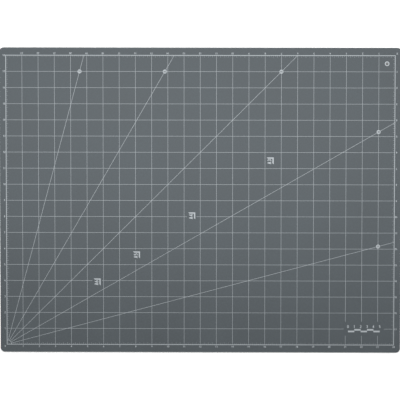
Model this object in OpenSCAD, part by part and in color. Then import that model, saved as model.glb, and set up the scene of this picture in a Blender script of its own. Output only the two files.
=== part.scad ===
// Self healing cutting mat: five laminated plies, an inch grid printed on the working face
// and a centimetre grid printed flush into the underside.
// Millimetres. The origin is the centre of the underside, +Z is up, -Y is the user's side.

/* [Inch grid] */
// Grid cells from left to right
columns = 24; // [20:1:24]
// Grid cells from front to back
rows = 18; // [14:1:18]
// Plain margin at the left and right of the grid
side_margin = 10.2; // [8:0.1:14]
// Plain margin in front of the grid and behind it
front_margin = 12; // [8:0.1:14]
// Radius of the mat's four corners
corner_r = 7; // [4:1:12]

/* [Plies] */
// Thickness of each outer self healing skin
skin_t = 0.6; // [0.4:0.1:1]
// Thickness of each soft ply under a skin
cushion_t = 0.4; // [0.2:0.1:0.8]
// Thickness of the stiff middle sheet
core_t = 1; // [0.6:0.1:2]
// Diameter of the hanging hole
hang_hole_d = 3.5; // [3:0.5:5]

/* [Ink] */
// Thickness of a printed ink film
ink_t = 0.05; // [0.03:0.01:0.1]
// Width of the border line
border_w = 0.9; // [0.6:0.1:1.4]
// Width of a grid line
line_w = 0.4; // [0.3:0.1:0.6]
// Width of an angle line
angle_w = 0.45; // [0.3:0.05:0.7]
// Height of the margin numerals
numeral_h = 3; // [2.4:0.1:3.4]
// Diameter of an angle badge
badge_d = 6.2; // [6:0.1:8]
// Length of the eighth inch ticks inside the border
eighth_l = 1.6; // [1:0.2:2.4]
// Length of the quarter and half inch ticks inside the border
quarter_l = 2.8; // [2.4:0.2:4]

/* [Paper size marks] */
// Length of each arm of a corner bracket
mark_arm = 11; // [9:0.5:13]
// Thickness of the bracket's bars
mark_bar = 2; // [1.4:0.1:2.4]
// Height of the size label in the bracket
mark_label_h = 6; // [5:0.1:6.2]
// Distance of the label's middle from the bracket's outer sides
mark_label_in = 6.7; // [6.5:0.1:7]
// Plain ground kept clear around a mark
mark_clear = 2; // [1:0.5:3]

/* [Underside] */
// Length of the centimetre ticks outside the underside's border
tick_l = 2.5; // [2:0.5:4]

/* [Hidden] */
$fn = 96;

inch = 25.4;
grid_length = columns * inch;
grid_width = rows * inch;
mat_length = grid_length + 2 * side_margin;
mat_width = grid_width + 2 * front_margin;

// Heights of the ply boundaries above the table
core_z = skin_t + cushion_t;
upper_cushion_z = core_z + core_t;
top_skin_z = upper_cushion_z + cushion_t;
mat_t = top_skin_z + skin_t;

// The hole sits in the middle of the far right cell
hang_hole = [grid_length / 2 - inch / 2, grid_width / 2 - inch / 2];
ring_gap = 0.4;
ring_w = 1.45;
tick_w = 0.25;

// Angle lines fan out of the near left corner of the grid
angles = [15, 30, 45, 60, 75];
fan_r = 7;
// A badge sits one cell in from the edge that its line runs out to
function badge_at(a) =
    tan(a) * (columns - 1) < rows - 1
    ? [(columns - 1) * inch, (columns - 1) * inch * tan(a)]
    : [(rows - 1) * inch / tan(a), (rows - 1) * inch];

// ISO paper sizes, landscape, measured from the same corner
papers = [["A3", 420, 297], ["A4", 297, 210], ["A5", 210, 148], ["A6", 148, 105]];
badge_label_h = 3.2;

// Numerals stand this far outside the border line
numeral_out = 3;

// A checked 5 cm scale bar stands in a clear panel near the front right corner
panel_at = [(columns - 1.85) * inch, 1.02 * inch];
panel_size = [2.5 * inch, 0.88 * inch];
bar_step = 10;
bar_steps = 5;
bar_h = 2.6;
bar_down = 3;
bar_numeral_h = 4.6;
bar_numeral_up = 3.4;

// The underside's grid is the largest in whole major steps that leaves room for its numerals
major_step = 50;
tick_step = 10;
metric_margin = 12;
function metric_span(side) = floor((side - 2 * metric_margin) / major_step) * major_step;
metric_length = metric_span(mat_length);
metric_width = metric_span(mat_width);

mat_grey = [0.40, 0.43, 0.44];
cushion_grey = [0.35, 0.38, 0.39];
core_grey = [0.24, 0.26, 0.27];
ink_white = [0.80, 0.82, 0.82];

// ---- Lettering: centrelines in a box 0.5 wide and 1 high, drawn with a pen ----

pen = 0.22;
tip = pen / 2;
advance = 0.82;
arc_steps = 5;

function arc(centre, rx, ry, from, to) =
    [for (i = [0:arc_steps])
        let (a = from + (to - from) * i / arc_steps)
        centre + [rx * cos(a), ry * sin(a)]];

function oval(centre, rx, ry) =
    let (steps = 3 * arc_steps)
    [for (i = [0:steps - 1]) centre + [rx * cos(360 * i / steps), ry * sin(360 * i / steps)]];

function slot_path() = concat(arc([0.25, 0.75], 0.25, 0.25, 0, 180), arc([0.25, 0.25], 0.25, 0.25, 180, 360));

function half_turn(path) = [for (p = path) [0.5, 1] - p];

// Open strokes of a character
function strokes(c) =
    c == "1" ? [[[0.06, 0.76], [0.24, 0.93]], [[0.28, -tip], [0.28, 1 + tip]]]
    : c == "2" ? [concat(arc([0.25, 0.75], 0.25, 0.25, 165, -35), [[0.02, 0]]), [[-tip, 0], [0.5 + tip, 0]]]
    : c == "3" ? [arc([0.25, 0.75], 0.25, 0.25, 150, -90), arc([0.25, 0.25], 0.25, 0.25, 90, -150)]
    : c == "4" ? [[[0.38, -tip], [0.38, 1 + tip]], [[0.38, 1], [0.01, 0.3]], [[-tip, 0.3], [0.5 + tip, 0.3]]]
    : c == "5" ? [[[0.46, 1], [0.06, 1], [0.03, 0.52]], arc([0.22, 0.31], 0.28, 0.31, 130, -140)]
    : c == "6" ? [arc([0.5, 0.27], 0.5, 0.73, 105, 180)]
    : c == "7" ? [[[-tip, 1], [0.5, 1], [0.14, -tip]]]
    : c == "9" ? [half_turn(strokes("6")[0])]
    : c == "A" ? [[[-0.02, -tip], [0.25, 1 + tip]], [[0.52, -tip], [0.25, 1 + tip]], [[0.08, 0.3], [0.42, 0.3]]]
    : [];

// Closed strokes of a character
function loops(c) =
    c == "0" ? [slot_path()]
    : c == "6" ? [oval([0.25, 0.27], 0.25, 0.27)]
    : c == "8" ? [oval([0.25, 0.76], 0.2, 0.24), oval([0.25, 0.26], 0.25, 0.26)]
    : c == "9" ? [half_turn(loops("6")[0])]
    : [];

function unit(v) = v / norm(v);

// Sideways step at a bend that keeps both legs of the stroke the same width
function mitre(back, ahead) =
    let (middle = unit(unit(back) + unit(ahead)))
    [-middle[1], middle[0]] / (middle * unit(ahead));

function open_side(path, shift) =
    let (last = len(path) - 1)
    [for (i = [0:last])
        let (back = max(i, 1), ahead = min(i, last - 1))
        path[i] + shift * mitre(path[back] - path[back - 1], path[ahead + 1] - path[ahead])];

function closed_side(path, shift) =
    let (n = len(path))
    [for (i = [0:n - 1])
        path[i] + shift * mitre(path[i] - path[(i + n - 1) % n], path[(i + 1) % n] - path[i])];

function reversed(path) = [for (i = [len(path) - 1:-1:0]) path[i]];

module open_stroke(path) polygon(concat(open_side(path, tip), reversed(open_side(path, -tip))));

module closed_stroke(path) {
    difference() {
        polygon(closed_side(path, -tip));
        polygon(closed_side(path, tip));
    }
}

module character(c) {
    for (path = strokes(c)) open_stroke(path);
    for (path = loops(c)) closed_stroke(path);
}

// One line of characters, centred on the origin and h high
module label(word, h) {
    size = h / (1 + pen);
    width = (len(word) - 1) * advance + 0.5;
    scale([size, size, 1])
        translate([-width / 2, -0.5])
            for (i = [0:len(word) - 1])
                translate([i * advance, 0])
                    character(word[i]);
}

// ---- Flat shapes, measured from the near left corner of their grid ----

module frame_line(length, width, w) {
    difference() {
        translate([-w / 2, -w / 2]) square([length + w, width + w]);
        translate([w / 2, w / 2]) square([length - w, width - w]);
    }
}

// Ticks along one side of the inch grid, cells inches long, pointing inwards from its border
module inch_ticks(cells) {
    per_inch = 8;
    for (i = [1:cells * per_inch - 1])
        if (i % per_inch != 0)
            translate([i * inch / per_inch - tick_w / 2, 0])
                square([tick_w, border_w / 2 + (i % 2 == 0 ? quarter_l : eighth_l)]);
}

module border_ticks() {
    for (half_turns = [0, 1])
        translate([grid_length, grid_width] / 2)
            rotate(180 * half_turns) {
                translate([-grid_length, -grid_width] / 2) inch_ticks(columns);
                translate([-grid_length, grid_width] / 2) rotate(-90) inch_ticks(rows);
            }
}

// Lines across a frame, both ways, from its inner edge to its inner edge
module lattice(nx, ny, step, w) {
    for (i = [1:nx - 1])
        translate([i * step - w / 2, border_w / 2])
            square([w, ny * step - border_w]);
    for (j = [1:ny - 1])
        translate([border_w / 2, j * step - w / 2])
            square([nx * step - border_w, w]);
}

module badge_discs() {
    for (a = angles)
        translate(badge_at(a))
            circle(d = badge_d);
}

// Bracket with its outer corner on the origin, and ends cut at 45 degrees
module bracket() {
    polygon([
        [0, 0],
        [-mark_arm, 0],
        [-mark_arm + mark_bar, -mark_bar],
        [-mark_bar, -mark_bar],
        [-mark_bar, -mark_arm + mark_bar],
        [0, -mark_arm]
    ]);
}

module clear_patches() {
    badge_discs();
    for (p = papers)
        translate([p[1] - mark_arm - mark_clear, p[2] - mark_arm - mark_clear])
            square(mark_arm + 2 * mark_clear);
    translate(panel_at) square(panel_size, center = true);
}

module angle_line(a) {
    intersection() {
        rotate(a) translate([fan_r, -angle_w / 2]) square([columns * inch * 2, angle_w]);
        translate([border_w / 2, border_w / 2])
            square([grid_length - border_w, grid_width - border_w]);
    }
}

module fan_arc() {
    intersection() {
        difference() {
            circle(r = fan_r + angle_w / 2);
            circle(r = fan_r - angle_w / 2);
        }
        translate([border_w / 2, border_w / 2]) square(2 * fan_r);
    }
}

// ---- Placing ----

module ply(z, t, grey) {
    color(grey)
        translate([0, 0, z])
            linear_extrude(t)
                difference() {
                    union() {
                        square([mat_length - 2 * corner_r, mat_width], center = true);
                        square([mat_length, mat_width - 2 * corner_r], center = true);
                        for (sx = [-1, 1], sy = [-1, 1])
                            translate([sx * (mat_length / 2 - corner_r), sy * (mat_width / 2 - corner_r)])
                                circle(r = corner_r);
                    }
                    translate(hang_hole) circle(d = hang_hole_d);
                }
}

// Ink on the working face, drawn from the near left corner of the inch grid
module top_ink() {
    color(ink_white)
        translate([-grid_length / 2, -grid_width / 2, mat_t])
            linear_extrude(ink_t)
                children();
}

// Seen from below the underside reads the right way round, so it is mirrored here
module underside_art() {
    mirror([1, 0]) translate([-metric_length / 2, -metric_width / 2]) children();
}

module underside_ink() {
    color(ink_white) linear_extrude(ink_t) underside_art() children();
}

module metric_ticks() {
    for (i = [1:metric_length / tick_step - 1], y = [-border_w / 2 - tick_l, metric_width + border_w / 2])
        translate([i * tick_step - line_w / 2, y])
            square([line_w, tick_l]);
    for (j = [1:metric_width / tick_step - 1], x = [-border_w / 2 - tick_l, metric_length + border_w / 2])
        translate([x, j * tick_step - line_w / 2])
            square([tick_l, line_w]);
}

module metric_numerals() {
    out = tick_l + numeral_out;
    for (i = [0:metric_length / major_step])
        translate([i * major_step, -out])
            label(str(i * major_step / 10), numeral_h);
    for (j = [1:metric_width / major_step])
        translate([-out, j * major_step])
            label(str(j * major_step / 10), numeral_h);
}

module metric_lattice() {
    lattice(metric_length / major_step, metric_width / major_step, major_step, line_w);
}

// ---- Parts: the plies, from the table up ----

module bottom_skin() {
    difference() {
        ply(0, skin_t, mat_grey);
        translate([0, 0, -ink_t])
            linear_extrude(2 * ink_t)
                underside_art() {
                    frame_line(metric_length, metric_width, border_w);
                    metric_lattice();
                    metric_ticks();
                    metric_numerals();
                }
    }
}

module lower_cushion_ply() ply(skin_t, cushion_t, cushion_grey);

module core_sheet() ply(core_z, core_t, core_grey);

module upper_cushion_ply() ply(upper_cushion_z, cushion_t, cushion_grey);

module top_skin() ply(top_skin_z, skin_t, mat_grey);

// ---- Parts: the print on the working face ----

module border_print() {
    top_ink() {
        frame_line(grid_length, grid_width, border_w);
        border_ticks();
    }
}

module grid_print() {
    top_ink()
        difference() {
            lattice(columns, rows, inch, line_w);
            clear_patches();
        }
}

module angle_line_print() {
    top_ink()
        difference() {
            union() {
                for (a = angles) angle_line(a);
                fan_arc();
            }
            lattice(columns, rows, inch, line_w);
            border_ticks();
            badge_discs();
        }
}

// White discs with the angle left open in them
module angle_badge_print() {
    top_ink()
        difference() {
            badge_discs();
            for (a = angles) translate(badge_at(a)) label(str(a), badge_label_h);
        }
}

// The size labels read upwards
module paper_size_print() {
    top_ink()
        for (p = papers)
            translate([p[1], p[2]]) {
                bracket();
                translate([-mark_label_in, -mark_label_in]) rotate(90) label(p[0], mark_label_h);
            }
}

// 0 to the last column, read from the user's side
module front_numeral_print() {
    top_ink() {
        for (i = [1:columns]) translate([i * inch, -numeral_out]) label(str(i), numeral_h);
        translate([-numeral_out, -numeral_out]) label("0", numeral_h);
    }
}

module left_numeral_print() {
    top_ink()
        for (j = [1:rows])
            translate([-numeral_out, j * inch])
                label(str(j), numeral_h);
}

// The far side counts from the far right corner and is read from the far side
module back_numeral_print() {
    top_ink()
        translate([grid_length, grid_width])
            rotate(180) {
                for (i = [1:columns - 1]) translate([i * inch, -numeral_out]) label(str(i), numeral_h);
                translate([-numeral_out, -numeral_out]) label("0", numeral_h);
            }
}

module right_numeral_print() {
    top_ink()
        translate([grid_length, grid_width])
            rotate(180)
                for (j = [1:rows - 1])
                    translate([-numeral_out, j * inch])
                        label(str(j), numeral_h);
}

module hang_hole_ring_print() {
    inner_r = hang_hole_d / 2 + ring_gap;
    color(ink_white)
        translate([hang_hole[0], hang_hole[1], mat_t])
            linear_extrude(ink_t)
                difference() {
                    circle(r = inner_r + ring_w);
                    circle(r = inner_r);
                }
}

module scale_bar_print() {
    bar_l = bar_step * bar_steps;
    top_ink()
        translate(panel_at) {
            for (i = [0:bar_steps - 1])
                translate([i * bar_step - bar_l / 2, -bar_down - (i % 2 == 0 ? bar_h : 0)])
                    square([bar_step, bar_h]);
            for (i = [0:bar_steps])
                translate([i * bar_step - bar_l / 2, bar_numeral_up])
                    label(str(i), bar_numeral_h);
        }
}

// ---- Parts: the print in the underside ----

module underside_border_print() underside_ink() frame_line(metric_length, metric_width, border_w);

module underside_grid_print() underside_ink() metric_lattice();

module underside_tick_print() underside_ink() metric_ticks();

module underside_numeral_print() underside_ink() metric_numerals();

bottom_skin();
lower_cushion_ply();
core_sheet();
upper_cushion_ply();
top_skin();
border_print();
grid_print();
angle_line_print();
angle_badge_print();
paper_size_print();
front_numeral_print();
left_numeral_print();
back_numeral_print();
right_numeral_print();
hang_hole_ring_print();
scale_bar_print();
underside_border_print();
underside_grid_print();
underside_tick_print();
underside_numeral_print();
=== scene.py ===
"""A self healing cutting mat lying on a pale floor, seen from almost straight above.

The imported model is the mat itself. This script softens the plies' rims, adds the fine
centimetre lines of the underside, and gives every piece its material, then sets the floor,
the lights and the camera. Everything is in metres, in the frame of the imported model.
"""

import math

import bpy
from mathutils import Euler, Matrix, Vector


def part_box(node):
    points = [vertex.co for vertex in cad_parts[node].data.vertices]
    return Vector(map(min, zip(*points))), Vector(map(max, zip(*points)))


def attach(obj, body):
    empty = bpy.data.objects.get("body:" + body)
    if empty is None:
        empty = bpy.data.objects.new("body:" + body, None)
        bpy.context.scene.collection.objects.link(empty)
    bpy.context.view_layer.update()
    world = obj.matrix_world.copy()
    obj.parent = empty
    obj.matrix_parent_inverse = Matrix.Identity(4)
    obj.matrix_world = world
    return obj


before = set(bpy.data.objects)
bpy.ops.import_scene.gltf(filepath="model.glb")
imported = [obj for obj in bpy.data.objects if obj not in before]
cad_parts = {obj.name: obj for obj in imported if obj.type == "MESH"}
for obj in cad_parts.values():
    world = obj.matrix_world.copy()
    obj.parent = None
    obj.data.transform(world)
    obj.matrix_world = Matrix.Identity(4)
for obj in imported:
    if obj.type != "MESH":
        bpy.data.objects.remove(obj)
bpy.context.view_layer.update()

MM = 0.001

# ---- Sizes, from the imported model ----

LOW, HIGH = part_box("top_skin")
MAT_LENGTH = HIGH.x - LOW.x
MAT_WIDTH = HIGH.y - LOW.y
SKIN_TOP = HIGH.z
CORNER_R = 7 * MM

INNER_PLIES = ["lower_cushion_ply", "core_sheet", "upper_cushion_ply"]
PLIES = ["bottom_skin", *INNER_PLIES, "top_skin"]
UNDERSIDE_PRINT = sorted(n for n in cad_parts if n.startswith("underside_"))
TOP_PRINT = sorted(set(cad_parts) - set(PLIES) - set(UNDERSIDE_PRINT))

# ---- Colours, linear ----

MAT_GREY = (0.0536, 0.0644, 0.0714)
CUSHION_GREY = (0.036, 0.042, 0.045)
CORE_GREY = (0.022, 0.024, 0.026)
INK = (0.295, 0.32, 0.338)
FLOOR_WHITE = (0.90, 0.90, 0.90)
LIGHT_WHITE = (1, 1, 1, 1)


# ---- Materials ----

class Nodes:
    """A new material's node tree, with short calls for what the materials here share."""

    def __init__(self, name):
        self.material = bpy.data.materials.new(name)
        self.material.use_nodes = True
        self.tree = self.material.node_tree
        self.shader = self.tree.nodes["Principled BSDF"]
        self.place = self.add("ShaderNodeTexCoord").outputs["Object"]

    def add(self, kind, **values):
        node = self.tree.nodes.new(kind)
        for key, value in values.items():
            setattr(node, key, value)
        return node

    def link(self, output, socket):
        self.tree.links.new(output, socket)

    def distances(self):
        """Distance from the mat's middle along x and along y."""
        axes = self.add("ShaderNodeSeparateXYZ")
        self.link(self.place, axes.inputs["Vector"])
        return [self.math("ABSOLUTE", axes.outputs[axis], 0.0) for axis in ("X", "Y")]

    def stretched(self, scale):
        """Object coordinates scaled along each axis."""
        node = self.add("ShaderNodeMapping")
        node.inputs["Scale"].default_value = scale
        self.link(self.place, node.inputs["Vector"])
        return node.outputs["Vector"]

    def noise(self, scale, detail=2.0, roughness=0.5, place=None):
        node = self.add("ShaderNodeTexNoise")
        node.inputs["Scale"].default_value = scale
        node.inputs["Detail"].default_value = detail
        node.inputs["Roughness"].default_value = roughness
        self.link(place or self.place, node.inputs["Vector"])
        return node.outputs["Fac"]

    def pebbles(self, scale):
        """Distance to the nearest of many random points: a pebbled grain."""
        node = self.add("ShaderNodeTexVoronoi")
        node.inputs["Scale"].default_value = scale
        self.link(self.place, node.inputs["Vector"])
        return node.outputs["Distance"]

    def ramp(self, value, low, high, to_low=0.0, to_high=1.0):
        """value from low..high, clamped to to_low..to_high."""
        node = self.add("ShaderNodeMapRange")
        for key, number in zip(("From Min", "From Max", "To Min", "To Max"), (low, high, to_low, to_high)):
            node.inputs[key].default_value = number
        self.link(value, node.inputs["Value"])
        return node.outputs["Result"]

    def math(self, operation, first, second):
        node = self.add("ShaderNodeMath", operation=operation)
        for socket, value in zip(node.inputs, (first, second)):
            if isinstance(value, (int, float)):
                socket.default_value = value
            else:
                self.link(value, socket)
        return node.outputs["Value"]

    def blend(self, factor, first, second):
        """Mix of two colours, each a linear (r, g, b) or another node's output."""
        node = self.add("ShaderNodeMix", data_type="RGBA")
        self.link(factor, node.inputs["Factor"])
        for key, colour in (("A", first), ("B", second)):
            socket = [s for s in node.inputs if s.name == key and s.type == "RGBA"][0]
            if isinstance(colour, tuple):
                socket.default_value = (*colour, 1)
            else:
                self.link(colour, socket)
        return [s for s in node.outputs if s.type == "RGBA"][0]

    def bump(self, height, strength, distance, under=None):
        node = self.add("ShaderNodeBump")
        node.inputs["Strength"].default_value = strength
        node.inputs["Distance"].default_value = distance
        self.link(height, node.inputs["Height"])
        if under:
            self.link(under, node.inputs["Normal"])
        return node.outputs["Normal"]

    def finish(self, colour, roughness, normal, specular):
        self.link(colour, self.shader.inputs["Base Color"])
        self.link(roughness, self.shader.inputs["Roughness"])
        self.link(normal, self.shader.inputs["Normal"])
        self.shader.inputs["Specular IOR Level"].default_value = specular
        return self.material


def scaled(colour, k):
    return tuple(c * k for c in colour)


def rim_wear(n):
    """Patchy wear that grows over the last two millimetres before the mat's outline."""
    reach = 2.2 * MM
    nearness = [
        n.ramp(distance, half - reach, half)
        for distance, half in zip(n.distances(), (MAT_LENGTH / 2, MAT_WIDTH / 2))
    ]
    return n.math("MULTIPLY", n.math("MAXIMUM", *nearness), n.noise(180, 3))


def skin_material(name):
    """Matte vinyl: raised pebbles with painted shade in the pits between them, faint mottling, and a
    rubbed rim.
    """
    n = Nodes(name)
    clouds = n.noise(9, 3)
    mottle = n.noise(330, 2)
    flecks = n.noise(2400, 2)
    pebbles = n.pebbles(1500)
    tone = n.math("ADD", n.math("ADD", clouds, mottle), flecks)
    dark_tone, light_tone = 1.1, 1.9
    painted_pit_shade, worn_grey = scaled(MAT_GREY, 0.55), scaled(MAT_GREY, 1.6)
    relief = 0.08 * MM
    colour = n.blend(n.ramp(tone, dark_tone, light_tone), scaled(MAT_GREY, 0.86), scaled(MAT_GREY, 1.18))
    # Painted shade: the pits between the pebbles are darkened in colour, on top of their bump.
    colour = n.blend(n.ramp(pebbles, 0.4, 0.8, 0, 0.45), colour, painted_pit_shade)
    colour = n.blend(n.ramp(rim_wear(n), 0.0, 1.0, 0, 0.35), colour, worn_grey)
    grain = n.bump(pebbles, -0.6, relief)
    normal = n.bump(mottle, 0.15, relief, under=grain)
    roughness = n.ramp(tone, dark_tone, light_tone, 0.60, 0.76)
    return n.finish(colour, roughness, normal, specular=0.35)


def edge_material(name, grey, fleck_scale):
    """Die cut vinyl: fine upright drag lines from the blade and a slightly uneven tone."""
    n = Nodes(name)
    drag = n.noise(1, 2, place=n.stretched((2600, 2600, 120)))
    tone = n.noise(fleck_scale, 3)
    colour = n.blend(n.ramp(tone, 0.3, 0.7), scaled(grey, 0.88), scaled(grey, 1.14))
    normal = n.bump(drag, 0.35, 0.03 * MM)
    roughness = n.ramp(drag, 0.3, 0.7, 0.50, 0.68)
    return n.finish(colour, roughness, normal, specular=0.4)


def ink_material(name):
    """Screen printed ink: slightly thin and speckled, so that the vinyl shows through in pinholes."""
    n = Nodes(name)
    density = n.noise(45, 3)
    pinholes = n.noise(2600, 2)
    colour = n.blend(n.ramp(density, 0.3, 0.7), scaled(INK, 0.93), scaled(INK, 1.05))
    colour = n.blend(n.ramp(pinholes, 0.60, 0.74, 0, 0.7), colour, scaled(MAT_GREY, 1.5))
    normal = n.bump(n.noise(1700, 2), 0.2, 0.02 * MM)
    roughness = n.ramp(density, 0.3, 0.7, 0.50, 0.62)
    return n.finish(colour, roughness, normal, specular=0.45)


def floor_material():
    """White floor with a little painted glow, which keeps the mat's shadow faint.

    Under the mat it is painted grey shade and doesn't glow. This shows only through the hanging hole, as
    the floor in shadow there. That starts a little inside the mat's outline, so that the round corners
    stand on white too.
    """
    n = Nodes("pale_floor")
    outside = n.math("MAXIMUM", *(
        n.math("SUBTRACT", distance, half)
        for distance, half in zip(n.distances(), (MAT_LENGTH / 2, MAT_WIDTH / 2))
    ))
    glow = 0.22
    painted_shade_from, white_from = -4 * MM, -3 * MM
    # Painted glow outside the mat, which fills in the mat's shadow on the floor.
    n.shader.inputs["Emission Color"].default_value = LIGHT_WHITE
    n.link(n.ramp(outside, painted_shade_from, white_from, 0, glow), n.shader.inputs["Emission Strength"])
    white = n.blend(n.noise(1.3, 2), scaled(FLOOR_WHITE, 0.985), scaled(FLOOR_WHITE, 1.015))
    # Painted shade: grey under the mat, standing for the floor in shadow at the bottom of the hanging
    # hole.
    colour = n.blend(n.ramp(outside, painted_shade_from, white_from), scaled(FLOOR_WHITE, 0.3), white)
    normal = n.bump(n.noise(300, 2), 0.02, 0.1 * MM)
    return n.finish(colour, n.ramp(n.noise(3, 2), 0.3, 0.7, 0.75, 0.85), normal, specular=0.2)


def wear(piece, material):
    piece.data.materials.clear()
    piece.data.materials.append(material)


# ---- Softened edges of the plies ----

def outline_inset(x, y):
    """How far inside the mat's rounded outline a point lies."""
    dx = abs(x) - (MAT_LENGTH / 2 - CORNER_R)
    dy = abs(y) - (MAT_WIDTH / 2 - CORNER_R)
    if dx > 0 and dy > 0:
        return CORNER_R - math.hypot(dx, dy)
    return CORNER_R - max(dx, dy)


def soften(node, top_radius, bottom_radius):
    """Rounds a ply's outer rim, and leaves its mesh as it was packed."""
    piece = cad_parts[node]
    low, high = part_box(node)
    mesh = piece.data
    weights = mesh.attributes.new("bevel_weight_edge", "FLOAT", "EDGE")
    largest = max(top_radius, bottom_radius)
    close = 0.02 * MM
    for edge in mesh.edges:
        ends = [mesh.vertices[i].co for i in edge.vertices]
        if any(outline_inset(p.x, p.y) > close for p in ends):
            continue
        if all(abs(p.z - high.z) < close for p in ends):
            weights.data[edge.index].value = top_radius / largest
        elif all(abs(p.z - low.z) < close for p in ends):
            weights.data[edge.index].value = bottom_radius / largest
    weld = piece.modifiers.new("weld", "WELD")
    weld.merge_threshold = 0.001 * MM
    bevel = piece.modifiers.new("soft_rim", "BEVEL")
    bevel.limit_method = "WEIGHT"
    bevel.width = largest
    bevel.segments = 3
    shade = piece.modifiers.new("shade", "WEIGHTED_NORMAL")
    shade.keep_sharp = False


# ---- Fine centimetre lines of the underside ----

def line_spans(half, step, major, width):
    """Boundaries along one axis, and what each span between them is.

    True is a fine line, False the plain ground beside it, and None a major line, left out.
    """
    major_half_width = 0.2 * MM
    bounds, is_line = [-half], []
    for k in range(1, round(2 * half / step)):
        is_major = k % round(major / step) == 0
        half_width = major_half_width if is_major else width / 2
        bounds += [k * step - half - half_width, k * step - half + half_width]
        is_line += [False, None if is_major else True]
    return bounds + [half], is_line + [False]


def lattice_mesh(name, half_x, half_y, z_low, z_high, width):
    """A thin closed lattice of centimetre lines, broken where the five centimetre ones run."""
    step, major = 10 * MM, 50 * MM
    xs, x_line = line_spans(half_x, step, major, width)
    ys, y_line = line_spans(half_y, step, major, width)

    def solid(i, j):
        if not (0 <= i < len(x_line) and 0 <= j < len(y_line)):
            return False
        if x_line[i] is None or y_line[j] is None:
            return False
        return x_line[i] or y_line[j]

    points, index, faces = [], {}, []

    def corner(i, j, z):
        key = (i, j, z)
        if key not in index:
            index[key] = len(points)
            points.append((xs[i], ys[j], z))
        return index[key]

    for i in range(len(x_line)):
        for j in range(len(y_line)):
            if not solid(i, j):
                continue
            ring = [(i, j), (i + 1, j), (i + 1, j + 1), (i, j + 1)]
            faces.append([corner(*p, z_high) for p in ring])
            faces.append([corner(*p, z_low) for p in reversed(ring)])
            neighbours = [(i, j - 1), (i + 1, j), (i, j + 1), (i - 1, j)]
            for a, b, neighbour in zip(ring, ring[1:] + ring[:1], neighbours):
                if not solid(*neighbour):
                    faces.append(
                        [corner(*a, z_low), corner(*b, z_low), corner(*b, z_high), corner(*a, z_high)]
                    )
    mesh = bpy.data.meshes.new(name)
    mesh.from_pydata(points, [], faces)
    mesh.validate()
    piece = bpy.data.objects.new(name, mesh)
    bpy.context.scene.collection.objects.link(piece)
    return piece


def underside_fine_lines(ink):
    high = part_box("underside_grid_print")[1]
    proud, width = 0.01 * MM, 0.22 * MM
    piece = lattice_mesh("underside_centimetre_lines", high.x, high.y, -proud, proud, width)
    wear(piece, ink)
    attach(piece, "root")


# ---- Floor, lights, camera ----

def floor():
    side, sink = 30.0, 0.1 * MM
    bpy.ops.mesh.primitive_plane_add(size=side, location=(0, 0, -sink))
    plane = bpy.context.object
    plane.name = "floor"
    wear(plane, floor_material())


def soft_light(name, place, aim, size, watts):
    lamp = bpy.data.lights.new(name, "AREA")
    lamp.shape = "RECTANGLE"
    lamp.size, lamp.size_y = size
    lamp.energy = watts
    holder = bpy.data.objects.new(name, lamp)
    holder.location = place
    holder.rotation_euler = (Vector(aim) - Vector(place)).to_track_quat("-Z", "Y").to_euler()
    holder.visible_camera = False
    bpy.context.scene.collection.objects.link(holder)


def lights():
    """One wide light straight above the mat's far half, in an evenly white room."""
    over = (-0.022, 0.137)
    height, size, watts, room = 0.6, (1.35, 0.46), 9.0, 0.44
    soft_light("key", (*over, height), (*over, 0), size, watts)
    world = bpy.data.worlds.new("studio")
    bpy.context.scene.world = world
    world.use_nodes = True
    background = world.node_tree.nodes["Background"]
    background.inputs["Color"].default_value = LIGHT_WHITE
    background.inputs["Strength"].default_value = room


def camera():
    """A long lens far above the mat, leaning a little towards its far side."""
    distance, clip_end = 6.0, 100
    lens, sensor = 343.8, 36
    aim = Vector((-0.0004, 0.0010, SKIN_TOP))
    lean, pan, roll = (math.radians(a) for a in (-6.44, 0.87, 0.011))
    turn = (
        Euler((0, 0, roll)).to_matrix() @ Euler((0, pan, 0)).to_matrix() @ Euler((lean, 0, 0)).to_matrix()
    )
    eye = bpy.data.cameras.new("camera")
    eye.lens = lens
    eye.sensor_width = sensor
    eye.clip_end = clip_end
    holder = bpy.data.objects.new("camera", eye)
    holder.rotation_euler = turn.to_euler()
    holder.location = aim + turn @ Vector((0, 0, distance))
    bpy.context.scene.collection.objects.link(holder)
    bpy.context.scene.camera = holder


camera()
bpy.context.scene.view_settings.view_transform = "Standard"

skin = skin_material("mat_vinyl")
top_ink = ink_material("top_ink")
underside_ink = ink_material("underside_ink")
ply_materials = {
    "bottom_skin": skin,
    "lower_cushion_ply": edge_material("cushion_vinyl_edge", CUSHION_GREY, 700),
    "core_sheet": edge_material("core_vinyl_edge", CORE_GREY, 900),
    "upper_cushion_ply": edge_material("upper_cushion_vinyl_edge", CUSHION_GREY, 700),
    "top_skin": skin,
}
for node, material in ply_materials.items():
    wear(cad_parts[node], material)
for node in TOP_PRINT:
    wear(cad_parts[node], top_ink)
for node in UNDERSIDE_PRINT:
    wear(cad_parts[node], underside_ink)

cut_edge_r, worn_edge_r = 0.06 * MM, 0.35 * MM
soften("top_skin", worn_edge_r, cut_edge_r)
for node in INNER_PLIES:
    soften(node, cut_edge_r, cut_edge_r)

underside_fine_lines(underside_ink)
floor()
lights()
